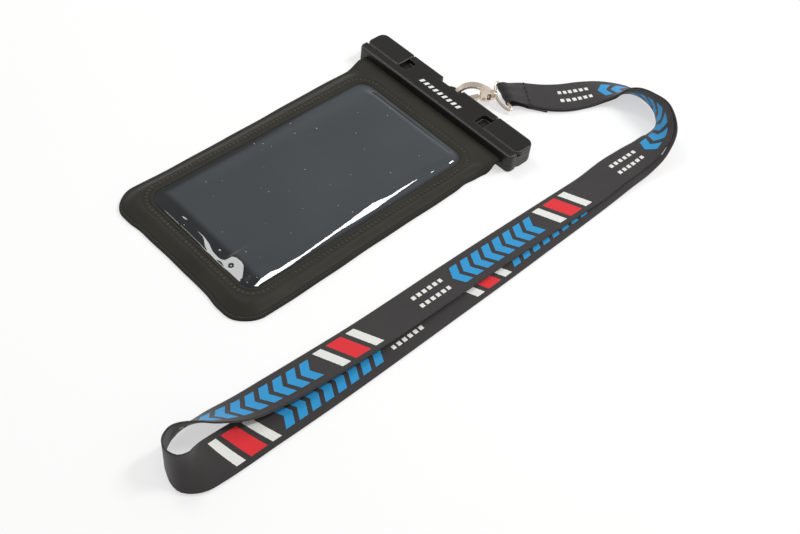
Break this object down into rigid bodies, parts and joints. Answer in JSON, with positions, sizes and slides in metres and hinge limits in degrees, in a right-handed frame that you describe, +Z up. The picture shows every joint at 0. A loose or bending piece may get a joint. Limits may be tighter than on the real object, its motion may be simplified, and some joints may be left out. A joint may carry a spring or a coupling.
{
  "type": "waterproof phone pouch",
  "caption": "Flat weld-edged phone pouch with a clear window, a clamp bar closed by swing-out locking levers, and a webbing lanyard on a swivel clasp.",
  "frame": {"origin": "middle of the clamp bar's flat underside, which lies on the table", "axes": "+X across the pouch to the right seen from above, +Y from the pouch towards the lanyard eye, +Z up through the window"},
  "size_m": [0.1732, 0.3594, 0.0214],
  "materials": {
    "pouch_frame": "fine-grained soft sheet, satin",
    "clear_film": "clear glossy film",
    "clamp_plastic": "moulded, lightly satin",
    "seal_rubber": "matt",
    "pin_steel": "plain",
    "clasp_metal": "warm nickel plate, satin gloss",
    "lanyard_webbing": "smooth printed webbing"
  },
  "bodies": {
    "pouch": {"back_panel": "pouch_frame", "front_panel": "pouch_frame", "window_film": "clear_film", "rear_jaw": "clamp_plastic", "front_jaw": "clamp_plastic", "seal_strip": "seal_rubber", "left_lever_pin": "pin_steel", "right_lever_pin": "pin_steel", "clasp_hook": "clasp_metal", "gate_pin": "pin_steel", "gate_spring": "pin_steel"},
    "left_lever": {"left_lever": "clamp_plastic"},
    "right_lever": {"right_lever": "clamp_plastic"},
    "gate": {"clasp_gate": "clasp_metal"},
    "lanyard": {"swivel_ring": "clasp_metal", "lanyard_strap": "lanyard_webbing"}
  },
  "joints": [
    {"name": "left_lever_hinge", "type": "hinge", "parent": "pouch", "child": "left_lever", "pos_m": [-0.056, -0.0003, 0.005], "axis": [0, 0, 1], "range_deg": [0, 90]},
    {"name": "right_lever_hinge", "type": "hinge", "parent": "pouch", "child": "right_lever", "pos_m": [0.056, -0.0003, 0.005], "axis": [0, 0, -1], "range_deg": [0, 90]},
    {"name": "gate_hinge", "type": "hinge", "parent": "pouch", "child": "gate", "pos_m": [0.01105, 0.02169, 0.0046], "axis": [-0.7431, 0.6691, 0], "range_deg": [0, 25], "stiffness_Nm_per_rad": 0.01, "springref_deg": -17.19},
    {"name": "lanyard_swivel", "type": "hinge", "parent": "pouch", "child": "lanyard", "pos_m": [0.00215, 0.01181, 0.0062], "axis": [0.6691, 0.7431, 0], "continuous": true}
  ]
}
